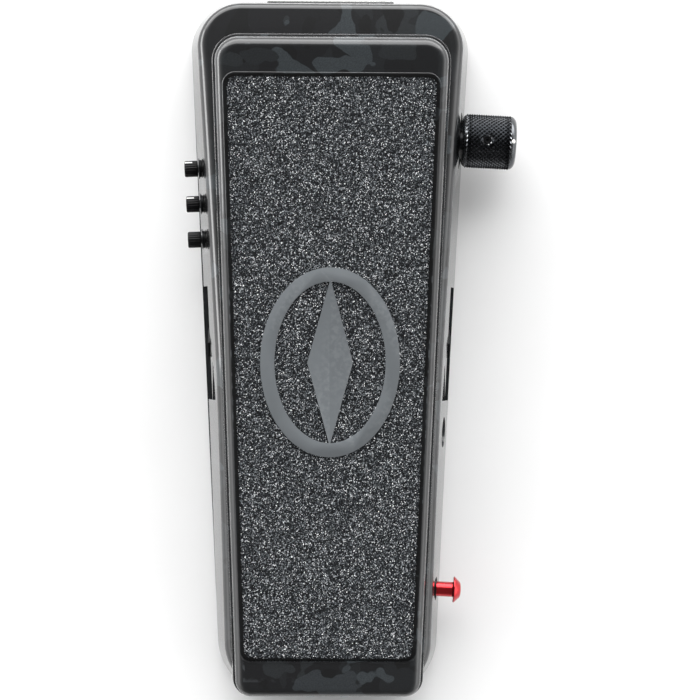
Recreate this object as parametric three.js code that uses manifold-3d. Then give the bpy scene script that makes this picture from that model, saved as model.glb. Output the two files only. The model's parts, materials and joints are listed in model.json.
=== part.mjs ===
// Rocker (wah) effects pedal for guitar, in millimetres, +Z up, toe end towards +Y.
// A cast housing carries a foot treadle on a pivot rod. The treadle pushes a rack down past a
// pinion on the wah potentiometer, and presses a foot switch at the end of its travel.
import * as THREE from 'three';
import { mergeVertices } from 'three/addons/utils/BufferGeometryUtils.js';
import Module from 'manifold-3d';

const wasm = await Module();
wasm.setup();

// ---------------------------------------------------------------- driving dimensions

const GAP = 0.3; // between pieces that rest on each other

const FOOT_HEIGHT = 4;
const FOOT_RADIUS = 8;
const FOOT_PLACES = [
  { name: 'toe_left', x: -36, y: 104 },
  { name: 'toe_right', x: 36, y: 104 },
  { name: 'heel_left', x: -26, y: -106 },
  { name: 'heel_right', x: 26, y: -106 },
];

const PLATE_THICKNESS = 1.5;
const HOUSING_BASE_Z = FOOT_HEIGHT + PLATE_THICKNESS + GAP;
const HOUSING_PLAN = {
  toeY: 126.7, heelY: -127, toeHalf: 50.45, heelHalf: 39.95, bow: 0.8, toeRadius: 18.5, heelRadius: 22,
};
const HOUSING_WALL = 3;
const WALL_TAPER = Math.atan2(
  HOUSING_PLAN.toeHalf - HOUSING_PLAN.heelHalf,
  HOUSING_PLAN.toeY - HOUSING_PLAN.toeRadius - HOUSING_PLAN.heelY - HOUSING_PLAN.heelRadius,
);
const HOUSING_DRAFT = 0.15; // inward lean of the walls per unit of height above the base
const PANEL_TOE_Y = 127; // the raised panel on the toe wall is the pedal's furthest point
const PANEL_BASE_Z = 7;
const PANEL_HEIGHT = 7;
const PANEL_HALF_WIDTH = 23;
const HOUSING_FILLET = 4;
const TOE_FILLET = 2; // the round top edge tightens towards the toe end
const FILLET_CHANGE_YS = [104, 122];
const ROOF_TOE_Z = 25;
const ROOF_RIDGE_Z = 36.5;
const ROOF_HEEL_Z = 27;
const BUMPER_X = 22;
const BUMPER_TOE_Y = 92;
const BUMPER_HEEL_Y = -100;
const BUMPER_SEAT_HEIGHT = 0.6;

const PIVOT_Y = -6;
const PIVOT_Z = 40;
const PIVOT_RADIUS = 3;
const PIVOT_EAR_XS = [14, 20];
const PIVOT_LUG_XS = [21.4, 28];
const PIVOT_SCREW_X = 24.7;
const TOE_UP_ANGLE = THREE.MathUtils.degToRad(6.5); // treadle at rest: heel down, toe up

// Treadle, in its own level frame with the pivot axis at the origin.
const TREADLE_PLAN = {
  toeY: 117, heelY: -118.6, toeHalf: 41.85, heelHalf: 34.1, bow: 0, toeRadius: 9.5, heelRadius: 7,
};
const TREADLE_SKIRT_Z = 2;
const TREADLE_TOP_Z = 11.5;
const TREADLE_LEDGE_Z = 4.6;
const TREADLE_LEDGE = 0.6;
const TREADLE_DRAFT = 0.1;
const TREADLE_FILLET = 3;
const TREADLE_WALL = 3;
const TREADLE_HOLLOW_Z = 7;
const RECESS_FLOOR_Z = 9.5;
const RECESS_LIP = 0.15;
const PAD_MARGIN = 1;
const RECESS_PLAN = {
  toeY: 103.3, heelY: -104.2, toeHalf: 37.5, heelHalf: 30.9, bow: 0, toeRadius: 4, heelRadius: 4,
};
const PAD_TOP_Z = 11;
const EMBLEM_THICKNESS = 0.4;
const EMBLEM_HALF_WIDTH = 24.5;
const EMBLEM_HALF_LENGTH = 33.5;
const EMBLEM_BAND = 5;
const EMBLEM_DIAMOND_HALF_WIDTH = 8;
const EMBLEM_Y = 2.5;

const RACK_ARM = 44; // from the pivot to the rack pin
const PINION_PITCH_RADIUS = 5;
const PINION_TEETH = 12;
const PINION_Y = PIVOT_Y + RACK_ARM - 3.5 - PINION_PITCH_RADIUS;
const PINION_Z = 20;
const TOOTH_PITCH = (2 * Math.PI * PINION_PITCH_RADIUS) / PINION_TEETH;

const SWITCH_Y = 98.5;
const SWITCH_SEAT_Z = 26.5;
const SWITCH_BUSHING_RADIUS = 5.9;
const SWITCH_PLUNGER_RADIUS = 4.4;

const JACK_Y = 2;
const JACK_Z = 12.2;
const JACK_FLAT_X = 41.7;
const JACK_WINDOW_HALF = 20.5;
const JACK_WINDOW_TOP_Z = 18.5;
const JACK_PAD_X = 38.2;
const JACK_BORE_RADIUS = 3.3;
const POWER_JACK_Y = -30;
const POWER_JACK_Z = 17;
const BOARD_TOP_Z = 10.6;

// Controls on the side walls; their spans run outwards from the wall.
const RANGE_Y = 75.7;
const RANGE_Z = 17;
const RANGE_KNOB_RADIUS = 9.8;
const RANGE_KNOB_SPAN = [0.9, 20.2];
const RANGE_SCREW_X = 9.5;
const RANGE_SHAFT_RADIUS = 3;
const RANGE_SHAFT_DEPTH = 14; // how far the shaft reaches into the knob

const TRIM_YS = [64.8, 52.1, 39.3];
const TRIM_Z = 20.5;
const TRIM_KNOB_RADIUS = 2.9;
const TRIM_KNOB_SPAN = [1.7, 6.5];
const TRIM_SHAFT_RADIUS = 1.5;
const TRIM_HOLE_RADIUS = 3.3;

const KICK_Y = -86.4;
const KICK_Z = 16;
const KICK_CAP_XS = [-6, 6.2, 9.1]; // stem's end, shoulder and outer face
const LED_X = 6.2;
const LED_Z = 15;
const LED_RADIUS = 2.2;
const LED_TIP_Y = 126.2;

// ---------------------------------------------------------------- materials

function finish(color, roughness, metalness) {
  return new THREE.MeshStandardMaterial({ color, roughness, metalness });
}

const PAINT = finish(0x33373a, 0.5, 0.3);
const GRIT = finish(0x4a4f54, 0.95, 0);
const EMBLEM_GREY = finish(0x7a8288, 0.6, 0);
const RUBBER = finish(0x16171a, 0.85, 0);
const STEEL = finish(0xa8abb0, 0.35, 1);
const BLACK_STEEL = finish(0x1d1e20, 0.5, 0.6);
const BRASS = finish(0xb79a55, 0.35, 1);
const NYLON = finish(0xe4e0d4, 0.6, 0);
const BLACK_PLASTIC = finish(0x151618, 0.5, 0);
const BLACK_ANODISED = finish(0x141517, 0.35, 0.8);
const RED_ANODISED = finish(0xc41e28, 0.3, 0.8);
const LENS_GREY = finish(0xb9c4cc, 0.2, 0);
const BOARD_GREEN = finish(0x1f5a34, 0.6, 0);

// ---------------------------------------------------------------- solids and cuts

// A closed three.js geometry as a solid that can be joined and cut.
function solid(geometry) {
  const bare = geometry.clone();
  bare.deleteAttribute('normal');
  bare.deleteAttribute('uv');
  const merged = mergeVertices(bare, 1e-4);
  const corners = merged.index.array;
  const kept = [];
  for (let i = 0; i < corners.length; i += 3) {
    const [a, b, c] = [corners[i], corners[i + 1], corners[i + 2]];
    if (a !== b && b !== c && c !== a) kept.push(a, b, c);
  }
  return new wasm.Manifold(new wasm.Mesh({
    numProp: 3,
    vertProperties: new Float32Array(merged.attributes.position.array),
    triVerts: new Uint32Array(kept),
  }));
}

function asSolid(shape) {
  return shape instanceof THREE.BufferGeometry ? solid(shape) : shape;
}

function geometryOf(shape) {
  const { vertProperties, triVerts } = asSolid(shape).getMesh();
  const geometry = new THREE.BufferGeometry();
  geometry.setAttribute('position', new THREE.BufferAttribute(vertProperties, 3));
  geometry.setIndex(new THREE.BufferAttribute(triVerts, 1));
  geometry.computeVertexNormals();
  return geometry;
}

function joined(first, ...others) {
  return others.reduce((whole, part) => whole.add(asSolid(part)), asSolid(first));
}

function cut(whole, ...tools) {
  return tools.reduce((rest, tool) => rest.subtract(asSolid(tool)), asSolid(whole));
}

function clipped(shape, limits) {
  return asSolid(shape).intersect(asSolid(limits));
}

function box([x0, x1], [y0, y1], [z0, z1]) {
  const geometry = new THREE.BoxGeometry(x1 - x0, y1 - y0, z1 - z0);
  return geometry.translate((x0 + x1) / 2, (y0 + y1) / 2, (z0 + z1) / 2);
}

// A round bar between two values on an axis; `at` gives the other two coordinates in X, Y, Z order.
function bar(axis, [from, to], radius, at, { segments = 24, endRadius = radius } = {}) {
  const geometry = new THREE.CylinderGeometry(endRadius, radius, to - from, segments);
  geometry.translate(0, (from + to) / 2, 0);
  if (axis === 'x') {
    geometry.rotateZ(-Math.PI / 2);
    geometry.translate(0, at[0], at[1]);
  } else if (axis === 'y') {
    geometry.translate(at[0], 0, at[1]);
  } else {
    geometry.rotateX(Math.PI / 2);
    geometry.translate(at[0], at[1], 0);
  }
  return geometry;
}

// The same span on the left (-1) or right (+1) side, from its lower to its higher x.
function spanOn(side, a, b) {
  return [Math.min(side * a, side * b), Math.max(side * a, side * b)];
}

// A hexagonal nut with a clearance bore.
function nut(axis, span, hexRadius, boreRadius, at) {
  const [from, to] = span;
  const bore = bar(axis, [from - 1, to + 1], boreRadius, at);
  return cut(bar(axis, span, hexRadius, at, { segments: 6 }), bore);
}

// A flat outline in the YZ plane, extruded along X between two values.
function sideExtrusion(shape, [x0, x1]) {
  const geometry = new THREE.ExtrudeGeometry(shape, {
    depth: x1 - x0, bevelEnabled: false, curveSegments: 12,
  });
  // The shape's x becomes Y and its y becomes Z.
  geometry.applyMatrix4(new THREE.Matrix4().makeBasis(
    new THREE.Vector3(0, 1, 0), new THREE.Vector3(0, 0, 1), new THREE.Vector3(1, 0, 0),
  ));
  return geometry.translate(x0, 0, 0);
}

// A turned solid along X. The profile is [radius, x] from one end of the axis to the other.
function turned(profile, segments) {
  const points = profile.map(([radius, x]) => new THREE.Vector2(radius, x));
  return new THREE.LatheGeometry(points, segments).rotateZ(-Math.PI / 2);
}

// A tongue in the YZ plane: round of `radius` about (0, 0), reaching up or down to `reach`.
function tongue(radius, reach) {
  const shape = new THREE.Shape();
  if (reach > 0) {
    shape.absarc(0, 0, radius, Math.PI, 2 * Math.PI, false);
    shape.lineTo(radius, reach);
    shape.lineTo(-radius, reach);
  } else {
    shape.absarc(0, 0, radius, 0, Math.PI, false);
    shape.lineTo(-radius, reach);
    shape.lineTo(radius, reach);
  }
  shape.closePath();
  return shape;
}

// ---------------------------------------------------------------- tapered plan outlines

// The right half of a tapered outline with round corners, heel to toe, each point with its
// outward normal. `bow` draws the middle of the side inwards.
function halfOutline({ toeY, heelY, toeHalf, heelHalf, bow, toeRadius, heelRadius }) {
  const CORNER_STEPS = 8;
  const SIDE_STEPS = 6;
  const heelCentre = new THREE.Vector2(heelHalf - heelRadius, heelY + heelRadius);
  const toeCentre = new THREE.Vector2(toeHalf - toeRadius, toeY - toeRadius);
  const side = new THREE.QuadraticBezierCurve(
    new THREE.Vector2(heelHalf, heelCentre.y),
    new THREE.Vector2((heelHalf + toeHalf) / 2 - bow, (heelCentre.y + toeCentre.y) / 2),
    new THREE.Vector2(toeHalf, toeCentre.y),
  );
  const points = [];
  const addCorner = (centre, radius, startAngle) => {
    for (let i = 0; i <= CORNER_STEPS; i += 1) {
      const angle = startAngle + (i / CORNER_STEPS) * (Math.PI / 2);
      const normal = new THREE.Vector2(Math.cos(angle), Math.sin(angle));
      points.push({ point: centre.clone().addScaledVector(normal, radius), normal });
    }
  };
  addCorner(heelCentre, heelRadius, -Math.PI / 2);
  for (let i = 1; i < SIDE_STEPS; i += 1) {
    const t = i / SIDE_STEPS;
    points.push({ point: side.getPoint(t), normal: new THREE.Vector2(1, 0) });
  }
  addCorner(toeCentre, toeRadius, 0);
  return points;
}

// One closed ring of the outline, drawn in by `inset(y)` and set at the height `level(y)`.
function ring(plan, inset, level) {
  const right = halfOutline(plan).map(({ point, normal }) => {
    const moved = point.clone().addScaledVector(normal, -inset(point.y));
    return new THREE.Vector3(moved.x, moved.y, level(moved.y));
  });
  const left = right.map((p) => new THREE.Vector3(-p.x, p.y, p.z)).reverse();
  return [...right, ...left];
}

// A solid skinned over a stack of rings from bottom to top. Points i and last - i of a ring face
// each other across the middle line, so its end caps are strips of crosswise quads.
function loft(rings) {
  const count = rings[0].length;
  const indices = [];
  const quad = (a, b, c, d) => indices.push(a, b, c, a, c, d);
  for (let level = 0; level < rings.length - 1; level += 1) {
    for (let i = 0; i < count; i += 1) {
      const next = (i + 1) % count;
      const low = level * count;
      quad(low + i, low + next, low + count + next, low + count + i);
    }
  }
  const top = (rings.length - 1) * count;
  for (let i = 0; i < count / 2 - 1; i += 1) {
    const facing = count - 1 - i;
    quad(facing, facing - 1, i + 1, i);
    quad(top + i, top + i + 1, top + facing - 1, top + facing);
  }
  const geometry = new THREE.BufferGeometry();
  geometry.setFromPoints(rings.flat());
  geometry.setIndex(indices);
  return geometry;
}

// Straight-sided solid over a plan, between two levels, grown outwards by `growth`.
function plateOf(plan, growth, [z0, z1]) {
  const grow = () => -growth;
  return loft([ring(plan, grow, () => z0), ring(plan, grow, () => z1)]);
}

// ---------------------------------------------------------------- housing

// The housing's roof rises from both ends to a ridge under the pivot.
function roofZ(y) {
  const { toeY, heelY } = HOUSING_PLAN;
  if (y > PIVOT_Y) {
    return ROOF_RIDGE_Z + ((ROOF_TOE_Z - ROOF_RIDGE_Z) * (y - PIVOT_Y)) / (toeY - PIVOT_Y);
  }
  return ROOF_RIDGE_Z + ((ROOF_HEEL_Z - ROOF_RIDGE_Z) * (PIVOT_Y - y)) / (PIVOT_Y - heelY);
}

function filletAt(y) {
  const [start, end] = FILLET_CHANGE_YS;
  const share = THREE.MathUtils.clamp((y - start) / (end - start), 0, 1);
  return THREE.MathUtils.lerp(HOUSING_FILLET, TOE_FILLET, share);
}

// A ring that follows the roof, `drop(y)` below it and `extraInset(y)` inside the leaning wall.
function housingRing(drop, extraInset) {
  const inset = (y) => HOUSING_DRAFT * (roofZ(y) - drop(y) - HOUSING_BASE_Z) + extraInset(y);
  return ring(HOUSING_PLAN, inset, (y) => roofZ(y) - drop(y));
}

function housingBaseRing(z, extraInset) {
  const inset = () => HOUSING_DRAFT * (z - HOUSING_BASE_Z) + extraInset;
  return ring(HOUSING_PLAN, inset, () => z);
}

// Distance from the middle line to the outside of the side wall at a height and a place.
function housingHalfWidth(y, z) {
  const { toeY, heelY, toeHalf, heelHalf, toeRadius, heelRadius, bow } = HOUSING_PLAN;
  const t = (y - heelY - heelRadius) / (toeY - toeRadius - heelY - heelRadius);
  const straight = heelHalf + (toeHalf - heelHalf) * t;
  return straight - 2 * bow * t * (1 - t) - HOUSING_DRAFT * (z - HOUSING_BASE_Z);
}

// Frame of a control on a tapered side wall: +X points straight out, from the wall's outside.
function wallFrame(side, y, z) {
  const frame = new THREE.Group();
  frame.position.set(side * housingHalfWidth(y, z), y, z);
  frame.rotation.z = side > 0 ? -WALL_TAPER : Math.PI + WALL_TAPER;
  frame.updateMatrix();
  return frame;
}

function makeChassis() {
  const rings = [housingBaseRing(HOUSING_BASE_Z, 0)];
  const FILLET_STEPS = 4;
  for (let i = 0; i <= FILLET_STEPS; i += 1) {
    const angle = (i / FILLET_STEPS) * (Math.PI / 2);
    rings.push(housingRing(
      (y) => filletAt(y) * (1 - Math.sin(angle)),
      (y) => filletAt(y) * (1 - Math.cos(angle)),
    ));
  }
  const outside = loft(rings);
  const wall = () => HOUSING_WALL;
  const inside = loft([housingBaseRing(HOUSING_BASE_Z - 1, HOUSING_WALL), housingRing(wall, wall)]);

  const additions = [];
  const cuts = [];
  for (const side of [-1, 1]) {
    // Window in the foot of the wall with a flat for the jack, and a pad behind the flat.
    const windowY = [JACK_Y - JACK_WINDOW_HALF, JACK_Y + JACK_WINDOW_HALF];
    additions.push(box(spanOn(side, JACK_PAD_X, JACK_FLAT_X + 1), windowY, [HOUSING_BASE_Z, 24]));
    cuts.push(box(spanOn(side, JACK_FLAT_X, 60), windowY, [0, JACK_WINDOW_TOP_Z]));
    cuts.push(bar('x', spanOn(side, 36, 60), 5, [JACK_Y, JACK_Z]));
    // Ear for the pivot rod, and its hole.
    const ear = sideExtrusion(tongue(6.5, -8), spanOn(side, ...PIVOT_EAR_XS));
    additions.push(ear.translate(0, PIVOT_Y, PIVOT_Z));
    cuts.push(bar('x', spanOn(side, 13, 21), 4.8, [PIVOT_Y, PIVOT_Z]));
    // Slot for the treadle's pivot lug.
    const [lugX0, lugX1] = PIVOT_LUG_XS;
    const slotY = [PIVOT_Y - 8.5, PIVOT_Y + 8.5];
    cuts.push(box(spanOn(side, lugX0 - 0.8, lugX1 + 0.8), slotY, [31, 39.5]));
    // Flat seats for the bumpers.
    for (const y of [BUMPER_TOE_Y, BUMPER_HEEL_Y]) {
      additions.push(bar('z', [roofZ(y) - 2, roofZ(y) + BUMPER_SEAT_HEIGHT], 6, [side * BUMPER_X, y]));
    }
  }
  // Holes for the controls, square to the tapered walls: the range knob and the trim pots in round
  // spot faces, and the kick switch.
  const atRange = wallFrame(1, RANGE_Y, RANGE_Z).matrix;
  cuts.push(bar('x', [0.1, 8], RANGE_KNOB_RADIUS + 0.5, [0, 0], { segments: 40 }).applyMatrix4(atRange));
  cuts.push(bar('x', [-8, 4], 4.8, [0, 0]).applyMatrix4(atRange));
  for (const y of TRIM_YS) {
    const atTrim = wallFrame(-1, y, TRIM_Z).matrix;
    cuts.push(bar('x', [0, 8], TRIM_HOLE_RADIUS + 0.2, [0, 0]).applyMatrix4(atTrim));
    cuts.push(bar('x', [-6, 1], TRIM_HOLE_RADIUS, [0, 0]).applyMatrix4(atTrim));
  }
  cuts.push(bar('x', [-8, 4], 4.3, [0, 0]).applyMatrix4(wallFrame(1, KICK_Y, KICK_Z).matrix));
  // Power jack and lens holes.
  cuts.push(bar('x', [36, 60], 5.5, [POWER_JACK_Y, POWER_JACK_Z]));
  for (const side of [-1, 1]) {
    cuts.push(bar('y', [-140, -115], LED_RADIUS + GAP, [side * LED_X, LED_Z]));
  }
  // Foot switch: a thick round seat, sunk level into the sloping roof, with its hole.
  additions.push(bar('z', [SWITCH_SEAT_Z - 3, SWITCH_SEAT_Z + 0.5], 13, [0, SWITCH_Y]));
  cuts.push(bar('z', [SWITCH_SEAT_Z, 60], 11.5, [0, SWITCH_Y]));
  cuts.push(bar('z', [20, 60], 6.3, [0, SWITCH_Y]));
  // Slot for the rack and its lugs, and the boss that the pot bracket hangs from.
  cuts.push(box([-8, 8], [30, 45], [25, 60]));
  additions.push(bar('z', [31.3, 33.5], 4, [-2, 14.5]));
  // Screw bosses over the feet, and two posts for the circuit board.
  for (const { x, y } of FOOT_PLACES) {
    additions.push(bar('z', [HOUSING_BASE_Z + 0.2, roofZ(y) - 1.5], 4.5, [x, y]));
    cuts.push(bar('z', [0, 17], 2, [x, y]));
  }
  for (const y of [-38, -84]) {
    additions.push(bar('z', [11.2, roofZ(y) - 1.5], 2.5, [-6, y]));
  }
  const limits = joined(outside, box([-30, 30], [-110, 110], [30, 60]));
  const inner = additions.map((part) => clipped(part, limits));
  // A plain raised panel on the toe wall.
  const panel = box([-PANEL_HALF_WIDTH, PANEL_HALF_WIDTH], [-4, 0], [0, PANEL_HEIGHT]);
  panel.rotateX(Math.atan(HOUSING_DRAFT)).translate(0, PANEL_TOE_Y, PANEL_BASE_Z);
  return cut(joined(cut(outside, inside), ...inner, panel), ...cuts);
}

function makeBasePlate() {
  const plate = plateOf(HOUSING_PLAN, -0.1, [FOOT_HEIGHT, FOOT_HEIGHT + PLATE_THICKNESS]);
  return cut(plate, ...FOOT_PLACES.map(({ x, y }) => bar('z', [0, 10], 2.1, [x, y])));
}

function makeFoot({ x, y }) {
  const pad = bar('z', [0, FOOT_HEIGHT - GAP], FOOT_RADIUS - 0.8, [x, y], {
    endRadius: FOOT_RADIUS,
  });
  const screwHole = bar('z', [-1, 5], 2.1, [x, y]);
  const headPocket = bar('z', [-1, 2.6], 4, [x, y]);
  return cut(pad, screwHole, headPocket);
}

function makeFootScrew({ x, y }) {
  const head = bar('z', [0.7, 2.3], 2.6, [x, y], { endRadius: 3.5 });
  const shank = bar('z', [2.2, 15], 1.7, [x, y], { segments: 12 });
  const slotAlongX = box([x - 2, x + 2], [y - 0.4, y + 0.4], [0, 1.5]);
  const slotAlongY = box([x - 0.4, x + 0.4], [y - 2, y + 2], [0, 1.5]);
  return cut(joined(head, shank), slotAlongX, slotAlongY);
}

function makeBumper(side, y, top) {
  const bottom = roofZ(y) + BUMPER_SEAT_HEIGHT + GAP;
  return bar('z', [bottom, top], 5, [side * BUMPER_X, y], { endRadius: 4.2 });
}

// ---------------------------------------------------------------- treadle (its own level frame)

function treadleRing(z, extraInset) {
  const inset = () => TREADLE_DRAFT * (z - TREADLE_SKIRT_Z) + extraInset;
  return ring(TREADLE_PLAN, inset, () => z);
}

function makeTreadle() {
  // A low skirt with a small ledge above it, then leaning sides and a round top edge.
  const rings = [
    treadleRing(TREADLE_SKIRT_Z, 0),
    treadleRing(TREADLE_LEDGE_Z, 0),
    treadleRing(TREADLE_LEDGE_Z + 0.1, TREADLE_LEDGE),
  ];
  const FILLET_STEPS = 4;
  for (let i = 0; i <= FILLET_STEPS; i += 1) {
    const angle = (i / FILLET_STEPS) * (Math.PI / 2);
    const drop = TREADLE_FILLET * (1 - Math.sin(angle));
    const inset = TREADLE_LEDGE + TREADLE_FILLET * (1 - Math.cos(angle));
    rings.push(treadleRing(TREADLE_TOP_Z - drop, inset));
  }
  const hollow = plateOf(TREADLE_PLAN, -TREADLE_WALL, [0, TREADLE_HOLLOW_Z]);
  const lip = plateOf(RECESS_PLAN, 0.5, [TREADLE_TOP_Z - 1, TREADLE_TOP_Z + RECESS_LIP]);
  const recess = plateOf(RECESS_PLAN, 0, [RECESS_FLOOR_Z, TREADLE_TOP_Z + 2]);
  const additions = [];
  const cuts = [bar('x', [-40, 40], PIVOT_RADIUS + GAP, [0, 0])];
  for (const side of [-1, 1]) {
    const lugTop = TREADLE_HOLLOW_Z + 1;
    additions.push(sideExtrusion(tongue(6, lugTop), spanOn(side, ...PIVOT_LUG_XS)));
    const rackLug = sideExtrusion(tongue(3.5, lugTop), spanOn(side, 3.2, 6.2));
    additions.push(rackLug.translate(0, RACK_ARM, 0));
  }
  for (const y of [-70, 78]) {
    additions.push(box([-34, 34], [y - 1.25, y + 1.25], [4.5, TREADLE_HOLLOW_Z + 1]));
  }
  cuts.push(bar('x', [-10, 10], 1.8, [RACK_ARM, 0], { segments: 16 }));
  // The pivot set screw comes up through the right lug.
  cuts.push(bar('z', [-8, 0], 1.8, [PIVOT_SCREW_X, 0], { segments: 16 }));
  const body = cut(joined(cut(loft(rings), hollow), lip), recess);
  return cut(joined(body, ...additions), ...cuts);
}

function makeGripPad() {
  return plateOf(RECESS_PLAN, -PAD_MARGIN, [RECESS_FLOOR_Z + GAP, PAD_TOP_Z]);
}

// A tall oval ring with a slim upright diamond across it.
function makeEmblem() {
  const outer = new THREE.Shape();
  outer.absellipse(0, 0, EMBLEM_HALF_WIDTH, EMBLEM_HALF_LENGTH, 0, 2 * Math.PI, false);
  const opening = new THREE.Path();
  const innerHalfLength = EMBLEM_HALF_LENGTH - EMBLEM_BAND;
  opening.absellipse(0, 0, EMBLEM_HALF_WIDTH - EMBLEM_BAND, innerHalfLength, 0, 2 * Math.PI, false);
  outer.holes.push(opening);
  const diamond = new THREE.Shape([
    new THREE.Vector2(0, -innerHalfLength - 1),
    new THREE.Vector2(EMBLEM_DIAMOND_HALF_WIDTH, 0),
    new THREE.Vector2(0, innerHalfLength + 1),
    new THREE.Vector2(-EMBLEM_DIAMOND_HALF_WIDTH, 0),
  ]);
  const options = { depth: EMBLEM_THICKNESS, bevelEnabled: false, curveSegments: 36 };
  const pieces = [outer, diamond].map((shape) => (
    new THREE.ExtrudeGeometry(shape, options).translate(0, EMBLEM_Y, PAD_TOP_Z + 0.15)
  ));
  return joined(...pieces);
}

function makePivotSetScrew() {
  const at = [PIVOT_SCREW_X, 0];
  const screw = bar('z', [-7, -PIVOT_RADIUS - GAP], 1.5, at, { segments: 12 });
  const socket = bar('z', [-8, -5.2], 0.8, at, { segments: 6 });
  return cut(screw, socket);
}

// ---------------------------------------------------------------- pivot, rack and pinion

function makeBushing(side) {
  const [x0, x1] = side < 0 ? [-20.3, -13.2] : [13.2, 20.3];
  const tube = bar('x', [x0, x1], 4.5, [PIVOT_Y, PIVOT_Z]);
  return cut(tube, bar('x', [x0 - 1, x1 + 1], PIVOT_RADIUS + 0.1, [PIVOT_Y, PIVOT_Z]));
}

function makeRack() {
  const PITCH_Y = PINION_Y + PINION_PITCH_RADIUS;
  const ROOT_Y = PITCH_Y + 1;
  const TIP_Y = PITCH_Y - 0.7;
  const BACK_Y = PITCH_Y + 6.1;
  const BOTTOM_Z = PINION_Z - 2.5;
  const PIN_Z = PIVOT_Z + RACK_ARM * Math.sin(TOE_UP_ANGLE);
  const PIN_Y = PIVOT_Y + RACK_ARM * Math.cos(TOE_UP_ANGLE);
  const TOOTH_COUNT = 5;
  const outline = new THREE.Shape();
  outline.moveTo(BACK_Y, BOTTOM_Z);
  outline.lineTo(BACK_Y, PIN_Z + 4);
  outline.lineTo(ROOT_Y, PIN_Z + 4);
  for (let i = TOOTH_COUNT - 1; i >= 0; i -= 1) {
    const middle = PINION_Z + (i + 0.5) * TOOTH_PITCH;
    outline.lineTo(ROOT_Y, middle + 0.33 * TOOTH_PITCH);
    outline.lineTo(TIP_Y, middle + 0.1 * TOOTH_PITCH);
    outline.lineTo(TIP_Y, middle - 0.1 * TOOTH_PITCH);
    outline.lineTo(ROOT_Y, middle - 0.33 * TOOTH_PITCH);
  }
  outline.lineTo(ROOT_Y, BOTTOM_Z);
  outline.closePath();
  // The pin's hole is a level slot, because the pin swings on an arc and the rack runs straight.
  const slot = new THREE.Shape();
  slot.absarc(PIN_Y + 0.5, PIN_Z, 1.8, -Math.PI / 2, Math.PI / 2, false);
  slot.absarc(PIN_Y - 0.3, PIN_Z, 1.8, Math.PI / 2, (3 * Math.PI) / 2, false);
  slot.closePath();
  return cut(sideExtrusion(outline, [-2.5, 2.5]), sideExtrusion(slot, [-4, 4]));
}

function makePinion() {
  const outline = new THREE.Shape();
  for (let i = 0; i < PINION_TEETH; i += 1) {
    const middle = (i * 2 * Math.PI) / PINION_TEETH;
    const corner = (radius, share) => {
      const angle = middle + (share * TOOTH_PITCH) / PINION_PITCH_RADIUS;
      return [radius * Math.cos(angle), radius * Math.sin(angle)];
    };
    if (i === 0) outline.moveTo(...corner(4.1, -0.3));
    else outline.lineTo(...corner(4.1, -0.3));
    outline.lineTo(...corner(5.7, -0.1));
    outline.lineTo(...corner(5.7, 0.1));
    outline.lineTo(...corner(4.1, 0.3));
  }
  outline.closePath();
  const gear = sideExtrusion(outline, [-3.5, 3.5]).translate(0, PINION_Y, PINION_Z);
  return cut(gear, bar('x', [-5, 5], 3.2, [PINION_Y, PINION_Z]));
}

function makePotBody() {
  const at = [PINION_Y, PINION_Z];
  const can = bar('x', [8.2, 21], 9.9, at);
  const bushing = bar('x', [3.9, 9], 4.2, at);
  const bore = bar('x', [0, 16], 3.25, at);
  const lugs = box([11, 13], [PINION_Y - 8, PINION_Y + 8], [7.2, 12]);
  return cut(joined(can, bushing, lugs), bore);
}

function makePotBracket() {
  const [x0, x1] = [6.3, 7.9];
  const plate = box([x0, x1], [10, 42.8], [9, 28.6]);
  const riser = box([x0, x1], [10, 19], [28, 30.6]);
  const hanger = box([-7, x1], [10, 19], [29.1, 30.6]);
  const rackGuide = box([-5, x1], [41.2, 42.8], [9, 27.5]);
  const hole = bar('x', [5, 9], 4.6, [PINION_Y, PINION_Z]);
  return cut(joined(plate, riser, hanger, rackGuide), hole);
}

// ---------------------------------------------------------------- foot switch

function makeFootswitchBody() {
  const at = [0, SWITCH_Y];
  const body = box([-8.25, 8.25], [SWITCH_Y - 8.25, SWITCH_Y + 8.25], [10, SWITCH_SEAT_Z - 3.3]);
  const bushing = bar('z', [20, 29.3], SWITCH_BUSHING_RADIUS, at);
  const blades = [-5.5, 0, 5.5].map((x) => box(
    [x - 1.2, x + 1.2], [SWITCH_Y - 5, SWITCH_Y + 5], [7, 11],
  ));
  return cut(joined(body, bushing, ...blades), bar('z', [16.5, 40], SWITCH_PLUNGER_RADIUS + 0.2, at));
}

// ---------------------------------------------------------------- jacks and electronics

function makeJack(side) {
  const at = [JACK_Y, JACK_Z];
  const bodyX = spanOn(side, 16, JACK_PAD_X - 0.4);
  const body = box(bodyX, [JACK_Y - 8, JACK_Y + 8], [JACK_Z - 6.2, JACK_Z + 6.2]);
  const bushing = bar('x', spanOn(side, 37, JACK_FLAT_X + 1.8), 4.7, at);
  return cut(joined(body, bushing), bar('x', spanOn(side, 18, 60), JACK_BORE_RADIUS, at));
}

function makeJackNut(side) {
  const face = JACK_FLAT_X + GAP;
  return nut('x', spanOn(side, face, face + 1.7), 5.9, 5, [JACK_Y, JACK_Z]);
}

function makePowerJack() {
  const at = [POWER_JACK_Y, POWER_JACK_Z];
  const half = 6;
  const bodyY = [POWER_JACK_Y - half, POWER_JACK_Y + half];
  const body = box([24, 36.7], bodyY, [POWER_JACK_Z - half, POWER_JACK_Z + half]);
  const nose = bar('x', [36, 40.6], 5.2, at);
  const pin = bar('x', [29, 39], 1, at, { segments: 12 });
  return joined(cut(joined(body, nose), bar('x', [30, 50], 2.9, at)), pin);
}

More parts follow.
